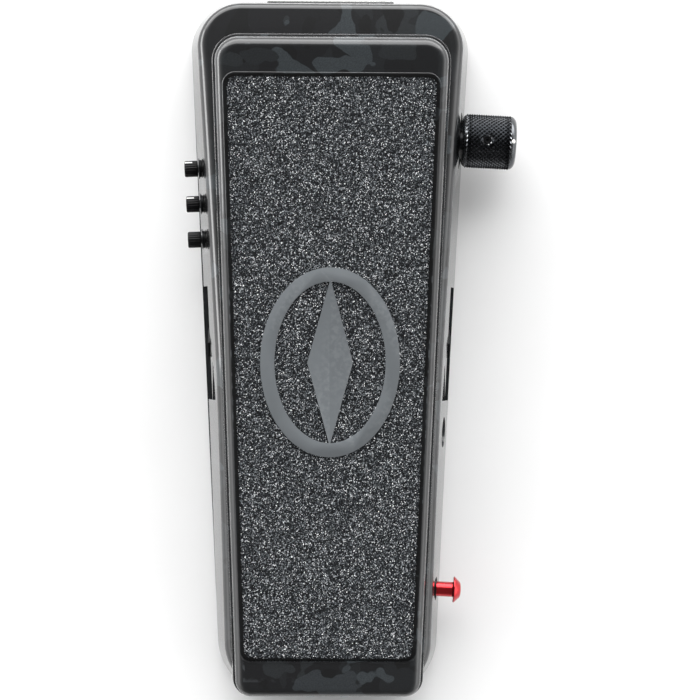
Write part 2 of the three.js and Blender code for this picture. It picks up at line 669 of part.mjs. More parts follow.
// A board with its tall parts: three boxes and four upright cans.
function makeCircuitBoard() {
  const base = BOARD_TOP_Z - 0.2;
  const can = (x, y, radius, height) => bar(
    'z', [base, BOARD_TOP_Z + height], radius, [x, y], { segments: 16 },
  );
  const block = (x, y, height) => box([x, x + 7], [y, y + 2.5], [base, BOARD_TOP_Z + height]);
  return joined(
    box([-33, -2], [-92, -30], [9, BOARD_TOP_Z]),
    can(-12, -54, 3.2, 11),
    can(-12, -64, 2.5, 9),
    can(-14, -76, 2.4, 5),
    can(-20, -56, 2.4, 5),
    block(-30, -64, 6),
    block(-30, -70, 6),
    block(-30, -78, 8),
  );
}

function makeInductor() {
  const profile = [[0, 0], [7, 0], [7, 2], [5, 2.6], [5, 6.4], [7, 7], [7, 9], [0, 9]];
  const lathe = new THREE.LatheGeometry(profile.map(([r, z]) => new THREE.Vector2(r, z)), 20);
  return lathe.rotateX(Math.PI / 2).translate(-22, -44, BOARD_TOP_Z + GAP);
}

function makeBattery() {
  const block = box([0, 26.4], [-96, -50.5], [7, 24]);
  const terminals = [6.5, 19.5].map((x) => bar('y', [-51, -48.3], 3, [x, 15.5], { segments: 12 }));
  return joined(block, ...terminals);
}

// ---------------------------------------------------------------- controls on the walls

// The controls on the walls are made in their wall's frame: x runs out of the wall.
function makeRangeKnob() {
  // Chamfered inner end, long grip, round outer end.
  const r = RANGE_KNOB_RADIUS;
  const [inner, outer] = RANGE_KNOB_SPAN;
  const knob = turned([
    [0, inner], [r - 1.3, inner], [r, inner + 1.3], [r, outer - 2.2], [r - 0.6, outer - 1.2],
    [r - 1.6, outer - 0.45], [r - 3.2, outer], [0, outer],
  ], 40);
  const bore = bar('x', [inner - 1, inner + RANGE_SHAFT_DEPTH + GAP], RANGE_SHAFT_RADIUS + GAP, [0, 0]);
  const screwHole = bar('z', [0, 20], 1.7, [RANGE_SCREW_X, 0], { segments: 16 });
  return cut(knob, bore, screwHole);
}

function makeRangeSetScrew() {
  const screw = bar('z', [3.3, 8.6], 1.45, [RANGE_SCREW_X, 0], { segments: 16 });
  return cut(screw, bar('z', [7, 20], 0.75, [RANGE_SCREW_X, 0], { segments: 6 }));
}

function makeRangeSwitchBody() {
  const can = bar('x', [-18.5, -5.4], 8.8, [0, 0]);
  const bushing = bar('x', [-5.6, 0], 4.5, [0, 0]);
  return cut(joined(can, bushing), bar('x', [-11.5, 2], RANGE_SHAFT_RADIUS + GAP, [0, 0]));
}

function makeTrimPot() {
  const body = box([-10.8, -4.3], [-4.75, 4.75], [-5.5, 5.5]);
  const bushing = bar('x', [-5, 0], TRIM_HOLE_RADIUS - GAP, [0, 0]);
  return cut(joined(body, bushing), bar('x', [-8.5, 2], TRIM_SHAFT_RADIUS + GAP, [0, 0]));
}

// A round nut with a thin flange that the knob turns against.
function makeTrimNut() {
  const collar = bar('x', [GAP, 1.2], 3.1, [0, 0]);
  const flange = bar('x', [1.1, 1.4], 3.75, [0, 0]);
  return cut(joined(collar, flange), bar('x', [-1, 2], TRIM_SHAFT_RADIUS + GAP, [0, 0]));
}

function makeTrimKnob() {
  const [inner, outer] = TRIM_KNOB_SPAN;
  const grip = turned([
    [0, inner], [TRIM_KNOB_RADIUS, inner], [TRIM_KNOB_RADIUS, outer - 0.4],
    [TRIM_KNOB_RADIUS - 0.4, outer], [0, outer],
  ], 20);
  const shaft = bar('x', [-7.5, inner + 0.2], TRIM_SHAFT_RADIUS, [0, 0], { segments: 12 });
  return joined(grip, shaft);
}

function makeKickBody() {
  const body = box([-11.8, -4.6], [-6, 6], [-6, 6]);
  const bushing = bar('x', [-5, 0], 4, [0, 0]);
  return cut(joined(body, bushing), bar('x', [-9.5, 2], 3, [0, 0]));
}

// A push button: a plain stem under a cap with a wide chamfer.
function makeKickCap() {
  const [stem, shoulder, outer] = KICK_CAP_XS;
  return turned([
    [0, stem], [2.7, stem], [2.7, shoulder], [4.72, shoulder], [4.72, outer - 2.45],
    [2.77, outer - 0.54], [1.9, outer - 0.2], [0, outer],
  ], 24);
}

// A lens with a collar behind the wall and a round tip.
function makeStatusLed(side) {
  const collar = LED_RADIUS + 0.6;
  const profile = [
    [0, 119], [collar, 119], [collar, 120], [LED_RADIUS, 120],
    [LED_RADIUS, LED_TIP_Y - 0.8], [LED_RADIUS - 0.6, LED_TIP_Y - 0.2], [0, LED_TIP_Y],
  ];
  const points = profile.map(([radius, depth]) => new THREE.Vector2(radius, depth));
  return new THREE.LatheGeometry(points, 16).rotateZ(Math.PI).translate(side * LED_X, 0, LED_Z);
}

// ---------------------------------------------------------------- assembly

const pedal = new THREE.Group();
const housing = new THREE.Group();
pedal.add(housing);

const treadleFrame = new THREE.Group();
treadleFrame.position.set(0, PIVOT_Y, PIVOT_Z);
treadleFrame.rotation.x = TOE_UP_ANGLE;
housing.add(treadleFrame);

function add(parent, name, shape, material) {
  const mesh = new THREE.Mesh(geometryOf(shape), material.clone());
  mesh.name = name;
  parent.add(mesh);
}

add(housing, 'chassis', makeChassis(), PAINT);
add(housing, 'base_plate', makeBasePlate(), BLACK_STEEL);
for (const place of FOOT_PLACES) {
  add(housing, `foot_${place.name}`, makeFoot(place), RUBBER);
  add(housing, `foot_screw_${place.name}`, makeFootScrew(place), STEEL);
}
for (const [name, side] of [['left', -1], ['right', 1]]) {
  add(housing, `toe_bumper_${name}`, makeBumper(side, BUMPER_TOE_Y, 34.3), RUBBER);
  add(housing, `heel_bumper_${name}`, makeBumper(side, BUMPER_HEEL_Y, 35.7), RUBBER);
  add(housing, `pivot_bushing_${name}`, makeBushing(side), NYLON);
  add(housing, `status_led_${name}`, makeStatusLed(side), LENS_GREY);
}

add(treadleFrame, 'treadle', makeTreadle(), PAINT);
add(treadleFrame, 'grip_pad', makeGripPad(), GRIT);
add(treadleFrame, 'emblem', makeEmblem(), EMBLEM_GREY);
add(treadleFrame, 'toe_pad', bar('z', [5.5, 6.7], 6, [0, SWITCH_Y - PIVOT_Y]), RUBBER);
add(treadleFrame, 'pivot_rod', bar('x', [-29.5, 29.5], PIVOT_RADIUS, [0, 0]), STEEL);
add(treadleFrame, 'pivot_set_screw', makePivotSetScrew(), BLACK_STEEL);
add(treadleFrame, 'rack_pin', bar('x', [-6.8, 6.8], 1.5, [RACK_ARM, 0], { segments: 16 }), STEEL);

add(housing, 'rack', makeRack(), NYLON);
add(housing, 'pinion_gear', makePinion(), NYLON);
add(housing, 'wah_pot_body', makePotBody(), STEEL);
add(housing, 'wah_pot_shaft', bar('x', [-4.2, 14], 2.9, [PINION_Y, PINION_Z]), BRASS);
add(housing, 'wah_pot_nut', nut('x', [4.1, 6], 6.2, 4.6, [PINION_Y, PINION_Z]), STEEL);
add(housing, 'pot_bracket', makePotBracket(), STEEL);

add(housing, 'footswitch_body', makeFootswitchBody(), BLACK_PLASTIC);
const switchNut = nut('z', [SWITCH_SEAT_Z + GAP, 28.9], 8.2, SWITCH_BUSHING_RADIUS + 0.4, [0, SWITCH_Y]);
add(housing, 'footswitch_nut', switchNut, STEEL);
const plunger = bar('z', [19.5, 31.7], SWITCH_PLUNGER_RADIUS, [0, SWITCH_Y]);
add(housing, 'footswitch_plunger', plunger, STEEL);

add(housing, 'input_jack', makeJack(1), BLACK_PLASTIC);
add(housing, 'input_jack_nut', makeJackNut(1), BLACK_PLASTIC);
add(housing, 'output_jack', makeJack(-1), BLACK_PLASTIC);
add(housing, 'output_jack_nut', makeJackNut(-1), BLACK_PLASTIC);
add(housing, 'power_jack', makePowerJack(), BLACK_PLASTIC);
add(housing, 'circuit_board', makeCircuitBoard(), BOARD_GREEN);
add(housing, 'inductor', makeInductor(), BRASS);
add(housing, 'battery_9v', makeBattery(), STEEL);
add(housing, 'battery_clip', box([0.5, 25.9], [-48, -45.6], [9.5, 21.5]), BLACK_PLASTIC);

const rangeFrame = wallFrame(1, RANGE_Y, RANGE_Z);
housing.add(rangeFrame);
add(rangeFrame, 'range_switch_body', makeRangeSwitchBody(), BLACK_PLASTIC);
const rangeShaft = bar('x', [-10, RANGE_KNOB_SPAN[0] + RANGE_SHAFT_DEPTH], RANGE_SHAFT_RADIUS, [0, 0]);
add(rangeFrame, 'range_switch_shaft', rangeShaft, BLACK_STEEL);
add(rangeFrame, 'range_knob', makeRangeKnob(), BLACK_ANODISED);
add(rangeFrame, 'range_set_screw', makeRangeSetScrew(), BLACK_STEEL);

TRIM_YS.forEach((y, index) => {
  const trimFrame = wallFrame(-1, y, TRIM_Z);
  housing.add(trimFrame);
  add(trimFrame, `trim_pot_${index + 1}`, makeTrimPot(), BLACK_PLASTIC);
  add(trimFrame, `trim_nut_${index + 1}`, makeTrimNut(), BLACK_STEEL);
  add(trimFrame, `trim_knob_${index + 1}`, makeTrimKnob(), BLACK_PLASTIC);
});

const kickFrame = wallFrame(1, KICK_Y, KICK_Z);
housing.add(kickFrame);
add(kickFrame, 'kick_switch_body', makeKickBody(), BLACK_PLASTIC);
add(kickFrame, 'kick_switch_cap', makeKickCap(), RED_ANODISED);

// The long range knob puts the housing off the middle of the pedal's bounding box, so it is
// shifted sideways to centre the whole pedal on the origin.
housing.position.x = -new THREE.Box3().setFromObject(pedal, true).getCenter(new THREE.Vector3()).x;

export default pedal;
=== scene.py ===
import json
import math

import bpy
import bmesh
import numpy as np
from mathutils import Matrix, Vector


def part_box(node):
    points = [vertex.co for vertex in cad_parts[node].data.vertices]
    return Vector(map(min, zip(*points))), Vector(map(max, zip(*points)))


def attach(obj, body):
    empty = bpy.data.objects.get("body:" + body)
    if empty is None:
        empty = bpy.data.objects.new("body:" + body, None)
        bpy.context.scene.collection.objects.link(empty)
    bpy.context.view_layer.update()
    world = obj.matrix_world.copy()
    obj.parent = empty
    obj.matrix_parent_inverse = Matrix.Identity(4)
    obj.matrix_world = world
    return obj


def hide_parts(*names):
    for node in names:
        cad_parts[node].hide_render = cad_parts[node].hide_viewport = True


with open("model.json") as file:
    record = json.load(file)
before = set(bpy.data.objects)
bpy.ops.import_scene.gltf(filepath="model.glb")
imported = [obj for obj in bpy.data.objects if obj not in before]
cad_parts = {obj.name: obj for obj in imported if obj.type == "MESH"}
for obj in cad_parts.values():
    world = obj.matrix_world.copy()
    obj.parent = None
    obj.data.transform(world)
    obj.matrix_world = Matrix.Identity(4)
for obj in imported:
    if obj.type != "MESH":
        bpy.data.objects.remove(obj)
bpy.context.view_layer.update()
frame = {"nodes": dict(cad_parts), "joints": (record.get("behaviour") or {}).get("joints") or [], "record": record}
RECORD = frame["record"]
JOINTS = {joint["name"]: joint for joint in frame["joints"]}
NODE_BODY = {node: body for body, nodes in RECORD["behaviour"]["bodies"].items() for node in nodes}
NODE_SLOT = {part["node"]: part["material_slot"] for part in RECORD["subparts"]}
MM = 0.001
RNG = np.random.default_rng(7)


# ---------------------------------------------------------------- places, in millimetres

def cad_box(node):
    """Lowest and highest corner of a CAD node, in millimetres."""
    low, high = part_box(node)
    return np.array(low) / MM, np.array(high) / MM


PLATE_LOW, PLATE_HIGH = cad_box("base_plate")
HOUSING_X = (PLATE_LOW[0] + PLATE_HIGH[0]) / 2
PIVOT = np.array(JOINTS["treadle_rock"]["pos_m"]) / MM
TOE_UP = math.radians(6.5)
HOUSING_PLACE = Matrix.Translation((HOUSING_X, 0, 0))
TREADLE_PLACE = Matrix.Translation(PIVOT) @ Matrix.Rotation(TOE_UP, 4, "X")


def outward_place(point, axis):
    """A frame whose +X runs along a control's axis, out of the wall, and whose +Z is up."""
    out = Vector(axis).normalized()
    side = Vector((0, 0, 1)).cross(out)
    turn = Matrix((out, side, (0, 0, 1))).transposed().to_4x4()
    return Matrix.Translation(point) @ turn


def joint_place(name):
    joint = JOINTS[name]
    return outward_place(np.array(joint["pos_m"]) / MM, joint["axis"])


# ---------------------------------------------------------------- dimensions, in millimetres

HOUSING_BASE_Z = 5.8
HOUSING_PLAN = dict(toe_y=126.7, heel_y=-127, toe_half=50.45, heel_half=39.95, bow=0.8,
                    toe_r=18.5, heel_r=22)
HOUSING_WALL = 3
HOUSING_DRAFT = 0.15
HOUSING_FILLET, TOE_FILLET = 4, 2
FILLET_CHANGE_YS = (104, 122)
ROOF_TOE_Z, ROOF_RIDGE_Z, ROOF_HEEL_Z = 25, 36.5, 27
PIVOT_Y, PIVOT_Z = -6, 40

TREADLE_PLAN = dict(toe_y=117, heel_y=-118.6, toe_half=41.85, heel_half=34.1, bow=0, toe_r=9.5, heel_r=7)
SKIRT_Z, LEDGE_Z, TREADLE_TOP_Z = 2, 4.6, 11.5
LEDGE, TREADLE_DRAFT, TREADLE_FILLET = 0.6, 0.1, 3
TREADLE_WALL, HOLLOW_Z = 3, 7
RECESS_PLAN = dict(toe_y=103.3, heel_y=-104.2, toe_half=37.5, heel_half=30.9, bow=0, toe_r=4, heel_r=4)
RECESS_FLOOR_Z, RECESS_LIP, PAD_MARGIN = 9.5, 0.15, 1
PAD_TOP_Z = 11
PIVOT_LUG_XS, PIVOT_LUG_RADIUS, ROD_HOLE_RADIUS, SET_SCREW_X = (21.4, 28), 6, 3.3, 24.7
RACK_ARM, RACK_LUG_XS, RACK_LUG_RADIUS = 44, (3.2, 6.2), 3.5
THIN_HOLE_RADIUS = 1.8  # for the rack pin and the pivot set screw
RIB_YS, RIB_HALF_X, RIB_HALF_Y, RIB_Z = (-70, 78), 34, 1.25, 4.5

JACK_Y, JACK_Z, JACK_HOLE_RADIUS = 2, 12.2, 5
JACK_WINDOW_HALF, JACK_WINDOW_TOP = 20.5, 18.5
JACK_PAD_IN_X, JACK_PAD_X, JACK_PAD_TOP = 38.2, 41.7, 24
BEYOND_X = 60  # outside the housing on either side
PIVOT_EAR_XS, PIVOT_EAR_RADIUS, BUSHING_BORE = (14, 20), 6.5, 4.8
LUG_WELL_XS, LUG_WELL_HALF_Y, LUG_WELL_ZS = (20.6, 28.8), 8.5, (31, 39.5)
BUMPER_X, BUMPER_YS, BUMPER_SEAT_RADIUS = 22, (92, -100), 6
LENS_X, LENS_Z, LENS_HOLE_RADIUS = 6.2, 15, 2.5
PANEL_HALF, PANEL_HEIGHT, PANEL_Z = 23, 7, 7
RANGE_SPOT_RADIUS, RANGE_HOLE_RADIUS = 10.3, 4.8
TRIM_SPOT_RADIUS, TRIM_HOLE_RADIUS = 3.5, 3.3
KICK_HOLE_RADIUS, KICK_CAP_HALF = 4.3, 7.55
POWER_JACK_Y, POWER_JACK_Z, POWER_HOLE_RADIUS = -30, 17, 5.5
SWITCH_Y, SWITCH_SEAT_Z, SWITCH_HOLE_RADIUS = 98.5, 26.5, 6.3
SWITCH_SEAT_RADIUS, SWITCH_SPOT_RADIUS = 13, 11.5
RACK_SLOT = ((-8, 30, 25), (8, 45, 60))
BOSSES = ((-36, 104), (36, 104), (-26, -106), (26, -106))
BOSS_RADIUS, BOSS_HOLE_RADIUS = 4.5, 2
TRIM_NUMBERS = (1, 2, 3)

CORNER_STEPS = SIDE_STEPS = 20
FILLET_STEPS = 10


# ---------------------------------------------------------------- meshes

def make_object(name, mesh):
    made = bpy.data.objects.new(name, mesh)
    bpy.context.scene.collection.objects.link(made)
    return made


def from_faces(name, points, faces, place):
    """A piece from points in millimetres in a local frame, and that frame's place."""
    mesh = bpy.data.meshes.new(name)
    mesh.from_pydata([tuple(point) for point in points], [], faces)
    mesh.transform(Matrix.Scale(MM, 4) @ place)
    mesh.update()
    return make_object(name, mesh)


def facing_out(piece):
    """Turns every face of a closed piece outward."""
    mesh = bmesh.new()
    mesh.from_mesh(piece.data)
    bmesh.ops.recalc_face_normals(mesh, faces=mesh.faces)
    mesh.to_mesh(piece.data)
    mesh.free()
    return piece


def quarter_turn(steps):
    return [math.pi / 2 * k / steps for k in range(steps + 1)]


def shade(piece, angle):
    piece.data.shade_smooth()
    piece.data.set_sharp_from_angle(angle=math.radians(angle))
    return piece


def apply_modifiers(piece):
    bpy.context.view_layer.update()
    graph = bpy.context.evaluated_depsgraph_get()
    mesh = bpy.data.meshes.new_from_object(piece.evaluated_get(graph))
    piece.modifiers.clear()
    old = piece.data
    piece.data = mesh
    mesh.name = piece.name
    bpy.data.meshes.remove(old)


def combine(piece, tool, operation):
    """Joins or cuts piece with a closed tool, and removes the tool."""
    boolean = piece.modifiers.new("boolean", "BOOLEAN")
    boolean.operation = operation
    boolean.solver = "MANIFOLD"
    boolean.object = tool
    apply_modifiers(piece)
    old = tool.data
    bpy.data.objects.remove(tool)
    bpy.data.meshes.remove(old)


def bevelled(piece, width, segments=2, angle=30):
    bevel = piece.modifiers.new("bevel", "BEVEL")
    bevel.width = width * MM
    bevel.segments = segments
    bevel.limit_method = "ANGLE"
    bevel.angle_limit = math.radians(angle)
    apply_modifiers(piece)
    return piece


def block(low, high, place):
    xs, ys, zs = zip(low, high)
    points = [(x, y, z) for x in xs for y in ys for z in zs]
    faces = [(0, 1, 3, 2), (4, 6, 7, 5), (0, 4, 5, 1), (2, 3, 7, 6), (0, 2, 6, 4), (1, 5, 7, 3)]
    return from_faces("tool", points, faces, place)


def lathe_points(profile, segments, axis, wobble):
    """Points and faces of a turned solid. profile is (radius, distance) pairs along the axis."""
    points, rings = [], []
    for radius, along in profile:
        if radius < 1e-6:
            rings.append([len(points)])
            points.append((along, 0.0, 0.0))
            continue
        ring = []
        for k in range(segments):
            angle = 2 * math.pi * k / segments
            r = radius if wobble is None else radius + wobble(angle)
            ring.append(len(points))
            points.append((along, r * math.cos(angle), r * math.sin(angle)))
        rings.append(ring)
    faces = []
    for low, high in zip(rings, rings[1:]):
        for k in range(segments):
            n = (k + 1) % segments
            if len(low) == 1:
                faces.append((low[0], high[k], high[n]))
            elif len(high) == 1:
                faces.append((low[k], high[0], low[n]))
            else:
                faces.append((low[k], high[k], high[n], low[n]))
    if axis == "z":
        points = [(y, z, x) for x, y, z in points]
    if axis == "y":
        points = [(z, x, y) for x, y, z in points]
    return points, faces


def turned(name, profile, place, segments=48, axis="x", wobble=None, smooth=35):
    """A turned solid whose profile runs from one end of its axis to the other."""
    points, faces = lathe_points(profile, segments, axis, wobble)
    return shade(facing_out(from_faces(name, points, faces, place)), smooth)


def cylinder(axis, span, radius, at, place, segments=32):
    """A plain round bar to cut or join with. at is its place on the two axes that it doesn't run along."""
    shift = {"x": (0, at[0], at[1]), "y": (at[0], 0, at[1]), "z": (at[0], at[1], 0)}[axis]
    profile = [(0, span[0]), (radius, span[0]), (radius, span[1]), (0, span[1])]
    return turned("tool", profile, place @ Matrix.Translation(shift), segments, axis)


def prism(outline, span, place):
    """An outline in the YZ plane extruded along X, to join with."""
    count = len(outline)
    points = [(along, y, z) for along in span for y, z in outline]
    faces = [tuple(range(count))[::-1], tuple(range(count, 2 * count))]
    for k in range(count):
        n = (k + 1) % count
        faces.append((k, n, count + n, count + k))
    return facing_out(from_faces("tool", points, faces, place))


def tongue(radius, reach, at=(0, 0)):
    """A round-ended tongue in the YZ plane, reaching up or down from at."""
    steps = 20
    turn = math.pi if reach > 0 else 0
    angles = [turn + math.pi * k / steps for k in range(steps + 1)]
    points = [(radius * math.cos(angle), radius * math.sin(angle)) for angle in angles]
    ends = [(radius, reach), (-radius, reach)] if reach > 0 else [(-radius, reach), (radius, reach)]
    return [(y + at[0], z + at[1]) for y, z in points + ends]


# ---------------------------------------------------------------- tapered outlines

def half_outline(plan):
    """The right half of a tapered outline from heel to toe: points and outward normals."""
    heel = np.array([plan["heel_half"] - plan["heel_r"], plan["heel_y"] + plan["heel_r"]])
    toe = np.array([plan["toe_half"] - plan["toe_r"], plan["toe_y"] - plan["toe_r"]])
    start = np.array([plan["heel_half"], heel[1]])
    end = np.array([plan["toe_half"], toe[1]])
    middle = (start + end) / 2 - np.array([plan["bow"], 0])
    points, normals = [], []

    def corner(centre, radius, first):
        for turn in quarter_turn(CORNER_STEPS):
            angle = first + turn
            normal = np.array([math.cos(angle), math.sin(angle)])
            points.append(centre + normal * radius)
            normals.append(normal)

    corner(heel, plan["heel_r"], -math.pi / 2)
    for k in range(1, SIDE_STEPS):
        t = k / SIDE_STEPS
        points.append((1 - t) ** 2 * start + 2 * t * (1 - t) * middle + t * t * end)
        normals.append(np.array([1.0, 0.0]))
    corner(toe, plan["toe_r"], 0)
    return np.array(points), np.array(normals)


def ring(plan, inset, level):
    points, normals = half_outline(plan)
    insets = np.array([inset(y) for y in points[:, 1]])
    moved = points - normals * insets[:, None]
    right = np.array([(x, y, level(y)) for x, y in moved])
    left = right[::-1] * np.array([-1, 1, 1])
    return np.vstack([right, left])


def loft(name, rings, place):
    """A solid skinned over a stack of rings from bottom to top."""
    count = len(rings[0])
    faces = []
    for low in range(0, (len(rings) - 1) * count, count):
        for k in range(count):
            n = (k + 1) % count
            faces.append((low + k, low + n, low + count + n, low + count + k))
    top = (len(rings) - 1) * count
    for k in range(count // 2 - 1):
        facing = count - 1 - k
        faces.append((facing, facing - 1, k + 1, k))
        faces.append((top + k, top + k + 1, top + facing - 1, top + facing))
    return from_faces(name, np.vstack(rings), faces, place)


def level_ring(plan, z, inset=0):
    return ring(plan, lambda y: inset, lambda y: z)


def plate(plan, span, place, inset=0):
    return loft("tool", [level_ring(plan, z, inset) for z in span], place)


def roof_z(y):
    """Height of the roof, which falls from its ridge under the pivot to both ends."""
    if y > PIVOT_Y:
        share = (y - PIVOT_Y) / (HOUSING_PLAN["toe_y"] - PIVOT_Y)
        return ROOF_RIDGE_Z + (ROOF_TOE_Z - ROOF_RIDGE_Z) * share
    share = (PIVOT_Y - y) / (PIVOT_Y - HOUSING_PLAN["heel_y"])
    return ROOF_RIDGE_Z + (ROOF_HEEL_Z - ROOF_RIDGE_Z) * share


def fillet_at(y):
    return np.interp(y, FILLET_CHANGE_YS, (HOUSING_FILLET, TOE_FILLET))


def housing_ring(drop, extra):
    """A ring that follows the roof, drop(y) below it and extra(y) inside the leaning wall."""
    return ring(
        HOUSING_PLAN,
        lambda y: HOUSING_DRAFT * (roof_z(y) - drop(y) - HOUSING_BASE_Z) + extra(y),
        lambda y: roof_z(y) - drop(y),
    )


def housing_base_ring(z, extra):
    return level_ring(HOUSING_PLAN, z, HOUSING_DRAFT * (z - HOUSING_BASE_Z) + extra)


# ---------------------------------------------------------------- materials

def srgb(red, green, blue):
    values = []
    for value in (red, green, blue):
        c = value / 255
        values.append(c / 12.92 if c <= 0.04045 else ((c + 0.055) / 1.055) ** 2.4)
    return (*values, 1.0)


def math_node(tree, operation, first, second):
    node = tree.nodes.new("ShaderNodeMath")
    node.operation = operation
    for socket, value in zip(node.inputs, (first, second)):
        if isinstance(value, (int, float)):
            socket.default_value = value
        else:
            tree.links.new(value, socket)
    return node.outputs[0]


def range_node(tree, value, limits, results):
    """Spreads a value that runs between two limits over two results."""
    node = tree.nodes.new("ShaderNodeMapRange")
    for socket, number in zip(("From Min", "From Max", "To Min", "To Max"), (*limits, *results)):
        node.inputs[socket].default_value = number
    tree.links.new(value, node.inputs["Value"])
    return node


class Surface:
    """A procedural material: colour, roughness and bump from nodes on object coordinates."""

    def __init__(self, name, metallic=0.0, coat=0.0, specular=0.5):
        self.material = bpy.data.materials.new(name)
        self.material.use_nodes = True
        self.tree = self.material.node_tree
        self.nodes, self.links = self.tree.nodes, self.tree.links
        self.nodes.clear()
        output = self.nodes.new("ShaderNodeOutputMaterial")
        self.shader = self.nodes.new("ShaderNodeBsdfPrincipled")
        self.shader.inputs["Metallic"].default_value = metallic
        self.shader.inputs["Coat Weight"].default_value = coat
        self.shader.inputs["Coat Roughness"].default_value = 0.1
        self.shader.inputs["Specular IOR Level"].default_value = specular
        self.links.new(self.shader.outputs["BSDF"], output.inputs["Surface"])
        self.coordinates = self.nodes.new("ShaderNodeTexCoord").outputs["Object"]
        self.geometry = self.nodes.new("ShaderNodeNewGeometry")
        self.bump = None

    def mapped(self, scale, offset=(0, 0, 0)):
        mapping = self.nodes.new("ShaderNodeMapping")
        mapping.inputs["Scale"].default_value = scale
        mapping.inputs["Location"].default_value = offset
        self.links.new(self.coordinates, mapping.inputs["Vector"])
        return mapping.outputs["Vector"]

    def noise(self, size, detail=2.0, roughness=0.5, distortion=0.0, vector=None):
        """Noise whose features are about size millimetres."""
        node = self.nodes.new("ShaderNodeTexNoise")
        node.inputs["Scale"].default_value = 1 / (size * MM)
        node.inputs["Detail"].default_value = detail
        node.inputs["Roughness"].default_value = roughness
        node.inputs["Distortion"].default_value = distortion
        self.links.new(vector or self.coordinates, node.inputs["Vector"])
        return node.outputs["Fac"]

    def cells(self, size, output="Color"):
        node = self.nodes.new("ShaderNodeTexVoronoi")
        node.inputs["Scale"].default_value = 1 / (size * MM)
        self.links.new(self.coordinates, node.inputs["Vector"])
        return node.outputs[output]

    def ramp(self, value, stops):
        node = self.nodes.new("ShaderNodeValToRGB")
        elements = node.color_ramp.elements
        while len(elements) < len(stops):
            elements.new(0.5)
        for element, (position, colour) in zip(elements, stops):
            element.position = position
            element.color = colour
        self.links.new(value, node.inputs["Fac"])
        return node.outputs["Color"]

    def spread(self, value, low, high, out_low, out_high):
        return range_node(self.tree, value, (low, high), (out_low, out_high)).outputs["Result"]

    def math(self, operation, first, second):
        return math_node(self.tree, operation, first, second)

    def mix(self, factor, first, second):
        node = self.nodes.new("ShaderNodeMix")
        node.data_type = "RGBA"
        sockets = [s for s in node.inputs if s.enabled]
        for socket, value in zip(sockets, (factor, first, second)):
            if isinstance(value, (int, float, tuple)):
                socket.default_value = value
            else:
                self.links.new(value, socket)
        return next(s for s in node.outputs if s.enabled)

    def add_bump(self, height, depth):
        """Bump of depth millimetres from a height that runs from 0 to 1."""
        node = self.nodes.new("ShaderNodeBump")
        node.inputs["Strength"].default_value = 1.0
        node.inputs["Distance"].default_value = depth * MM
        self.links.new(height, node.inputs["Height"])
        if self.bump is not None:
            self.links.new(self.bump, node.inputs["Normal"])
        self.bump = node.outputs["Normal"]
        self.links.new(self.bump, self.shader.inputs["Normal"])

    def edges(self, low=0.53, high=0.62):
        """Where the surface is a convex edge, from 0 to 1."""
        return self.spread(self.geometry.outputs["Pointiness"], low, high, 0.0, 1.0)

    def set(self, socket, value):
        self.links.new(value, self.shader.inputs[socket])


def plain_finish(name, dark, light, rough, grain, depth, wear=None, wear_share=0.5, **options):
    """Two close tones in soft clouds, uneven roughness, fine grain and lighter worn edges."""
    surface = Surface(name, **options)
    clouds = surface.noise(grain * 14, detail=4)
    fine = surface.noise(grain, detail=3)
    tone = surface.mix(clouds, srgb(*dark), srgb(*light))
    if wear is not None:
        broken = surface.spread(surface.noise(grain * 5, detail=4), 0.42, 0.62, 0.0, 1.0)
        worn = surface.math("MULTIPLY", surface.edges(), broken)
        tone = surface.mix(surface.math("MULTIPLY", worn, wear_share), tone, srgb(*wear))
    surface.set("Base Color", tone)
    surface.set("Roughness", surface.spread(fine, 0.3, 0.7, rough[0], rough[1]))
    surface.add_bump(fine, depth)
    return surface.material


